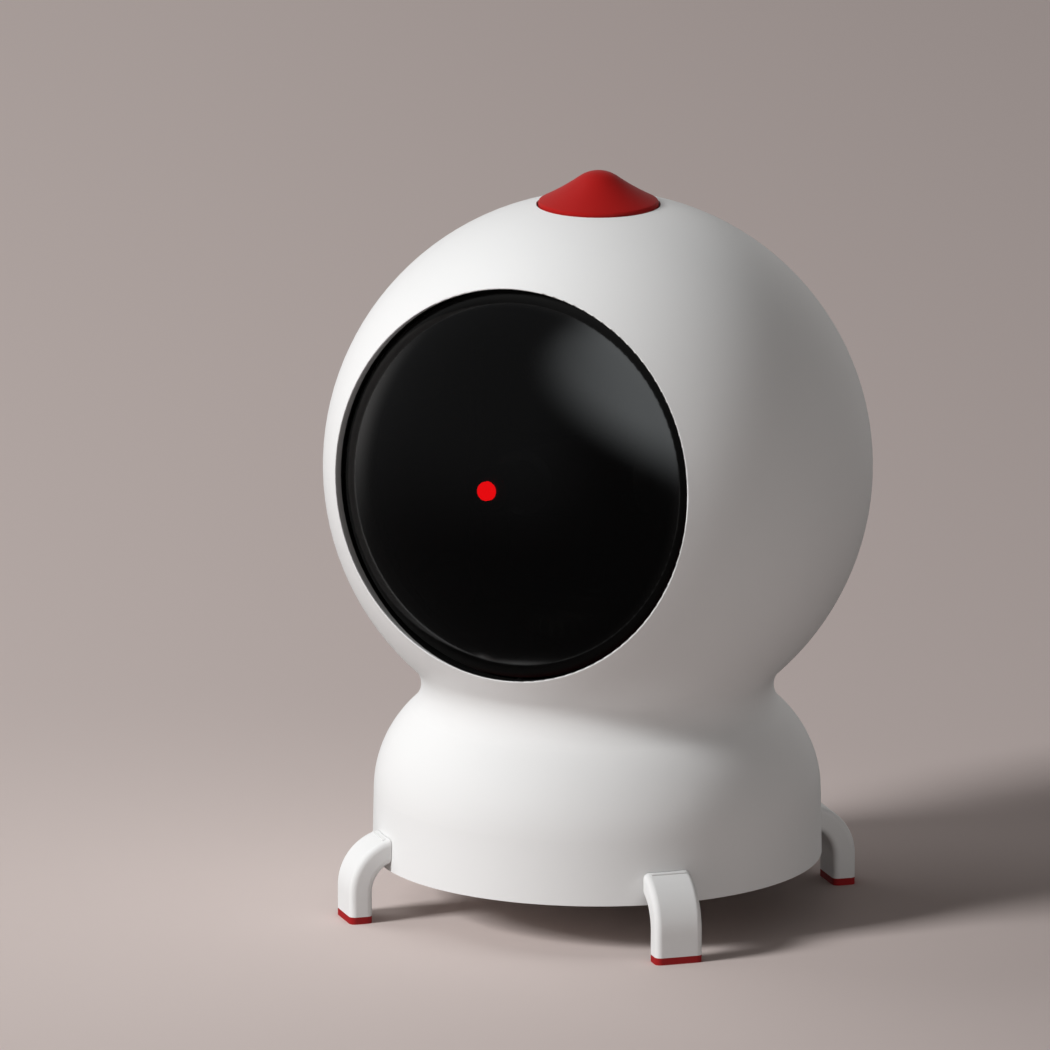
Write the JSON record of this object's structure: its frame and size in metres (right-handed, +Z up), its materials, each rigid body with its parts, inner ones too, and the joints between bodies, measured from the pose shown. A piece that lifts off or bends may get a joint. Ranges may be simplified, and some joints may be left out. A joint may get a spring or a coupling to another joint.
{
  "type": "automatic cat laser toy",
  "caption": "Ball-shaped cat laser toy on a short drum base with curved legs: a panning and tilting laser behind a smoked dome, push button on top, charging socket at the back.",
  "frame": {"origin": "on the ground under the globe's centre, at the middle of the footprint", "axes": "+Z up; the window faces -Y; +X is to the right seen from the front"},
  "size_m": [0.08, 0.0787, 0.1091],
  "materials": {
    "white_shell": "satin moulded",
    "white_leg": "satin moulded",
    "white_plate": "fine texture",
    "smoked_window": "polished smoked acrylic",
    "black_plastic": "matt",
    "red_plastic": "satin moulded",
    "red_rubber": "matt",
    "grey_plastic": "matt",
    "gear_acetal": "natural acetal",
    "screw_steel": "zinc plated",
    "spring_steel": "bright",
    "bush_brass": "turned",
    "motor_can": "drawn can",
    "socket_metal": "bright",
    "battery_wrap": "foil",
    "lead_cover": "soft",
    "circuit_board": "solder mask",
    "chip_black": "matt",
    "connector_nylon": "matt",
    "laser_lens": "glowing"
  },
  "bodies": {
    "housing": {"front_shell": "white_shell", "rear_shell": "white_shell", "window": "smoked_window", "window_ring": "black_plastic", "window_screws": "screw_steel", "shell_screws": "screw_steel", "leg_front_left": "white_leg", "leg_front_right": "white_leg", "leg_rear_right": "white_leg", "leg_rear_left": "white_leg", "foot_front_left": "red_rubber", "foot_front_right": "red_rubber", "foot_rear_right": "red_rubber", "foot_rear_left": "red_rubber", "bottom_plate": "white_plate", "base_screws": "screw_steel", "battery": "battery_wrap", "battery_lead": "lead_cover", "main_board": "circuit_board", "board_screws": "screw_steel", "board_chips": "chip_black", "board_connectors": "connector_nylon", "usb_socket": "socket_metal", "button_guide": "grey_plastic", "guide_screws": "screw_steel", "button_spring": "spring_steel", "switch_board": "circuit_board", "switch_screws": "screw_steel", "tact_switch": "chip_black", "gimbal_frame": "grey_plastic", "frame_screws": "screw_steel", "pan_bushes": "bush_brass", "pan_motor": "motor_can", "pan_motor_screws": "screw_steel"},
    "button": {"push_button": "red_plastic"},
    "pan_head": {"pan_yoke": "grey_plastic", "pan_gear": "gear_acetal", "pan_pins": "screw_steel", "tilt_pins": "screw_steel", "tilt_motor": "motor_can", "tilt_motor_screws": "screw_steel"},
    "pan_drive": {"pan_shaft": "screw_steel", "pan_pinion": "bush_brass"},
    "laser_head": {"laser_cradle": "grey_plastic", "tilt_sector": "gear_acetal", "laser_barrel": "bush_brass", "laser_driver": "circuit_board", "laser_lens": "laser_lens"},
    "tilt_drive": {"tilt_shaft": "screw_steel", "tilt_pinion": "bush_brass"}
  },
  "joints": [
    {"name": "button_press", "type": "slide", "parent": "housing", "child": "button", "axis": [0, 0, -1], "range_m": [0, 0.001], "stiffness_N_per_m": 400, "springref_m": -0.0005, "deforming": ["button_spring"]},
    {"name": "pan", "type": "hinge", "parent": "housing", "child": "pan_head", "pos_m": [0, 0, 0.0652], "axis": [0, 0, 1], "range_deg": [-24, 24]},
    {"name": "pan_pinion_spin", "type": "hinge", "parent": "housing", "child": "pan_drive", "pos_m": [0, 0.0144, 0.0652], "axis": [0, 0, 1], "range_deg": [-73, 73]},
    {"name": "tilt", "type": "hinge", "parent": "pan_head", "child": "laser_head", "pos_m": [0, 0, 0.0652], "axis": [1, 0, 0], "range_deg": [-8, 28]},
    {"name": "tilt_pinion_spin", "type": "hinge", "parent": "pan_head", "child": "tilt_drive", "pos_m": [0, 0, 0.0796], "axis": [1, 0, 0], "range_deg": [-85, 25]}
  ],
  "couplings": [
    {"joint": "pan_pinion_spin", "follows": "pan", "ratio": -3},
    {"joint": "tilt_pinion_spin", "follows": "tilt", "ratio": -3}
  ]
}
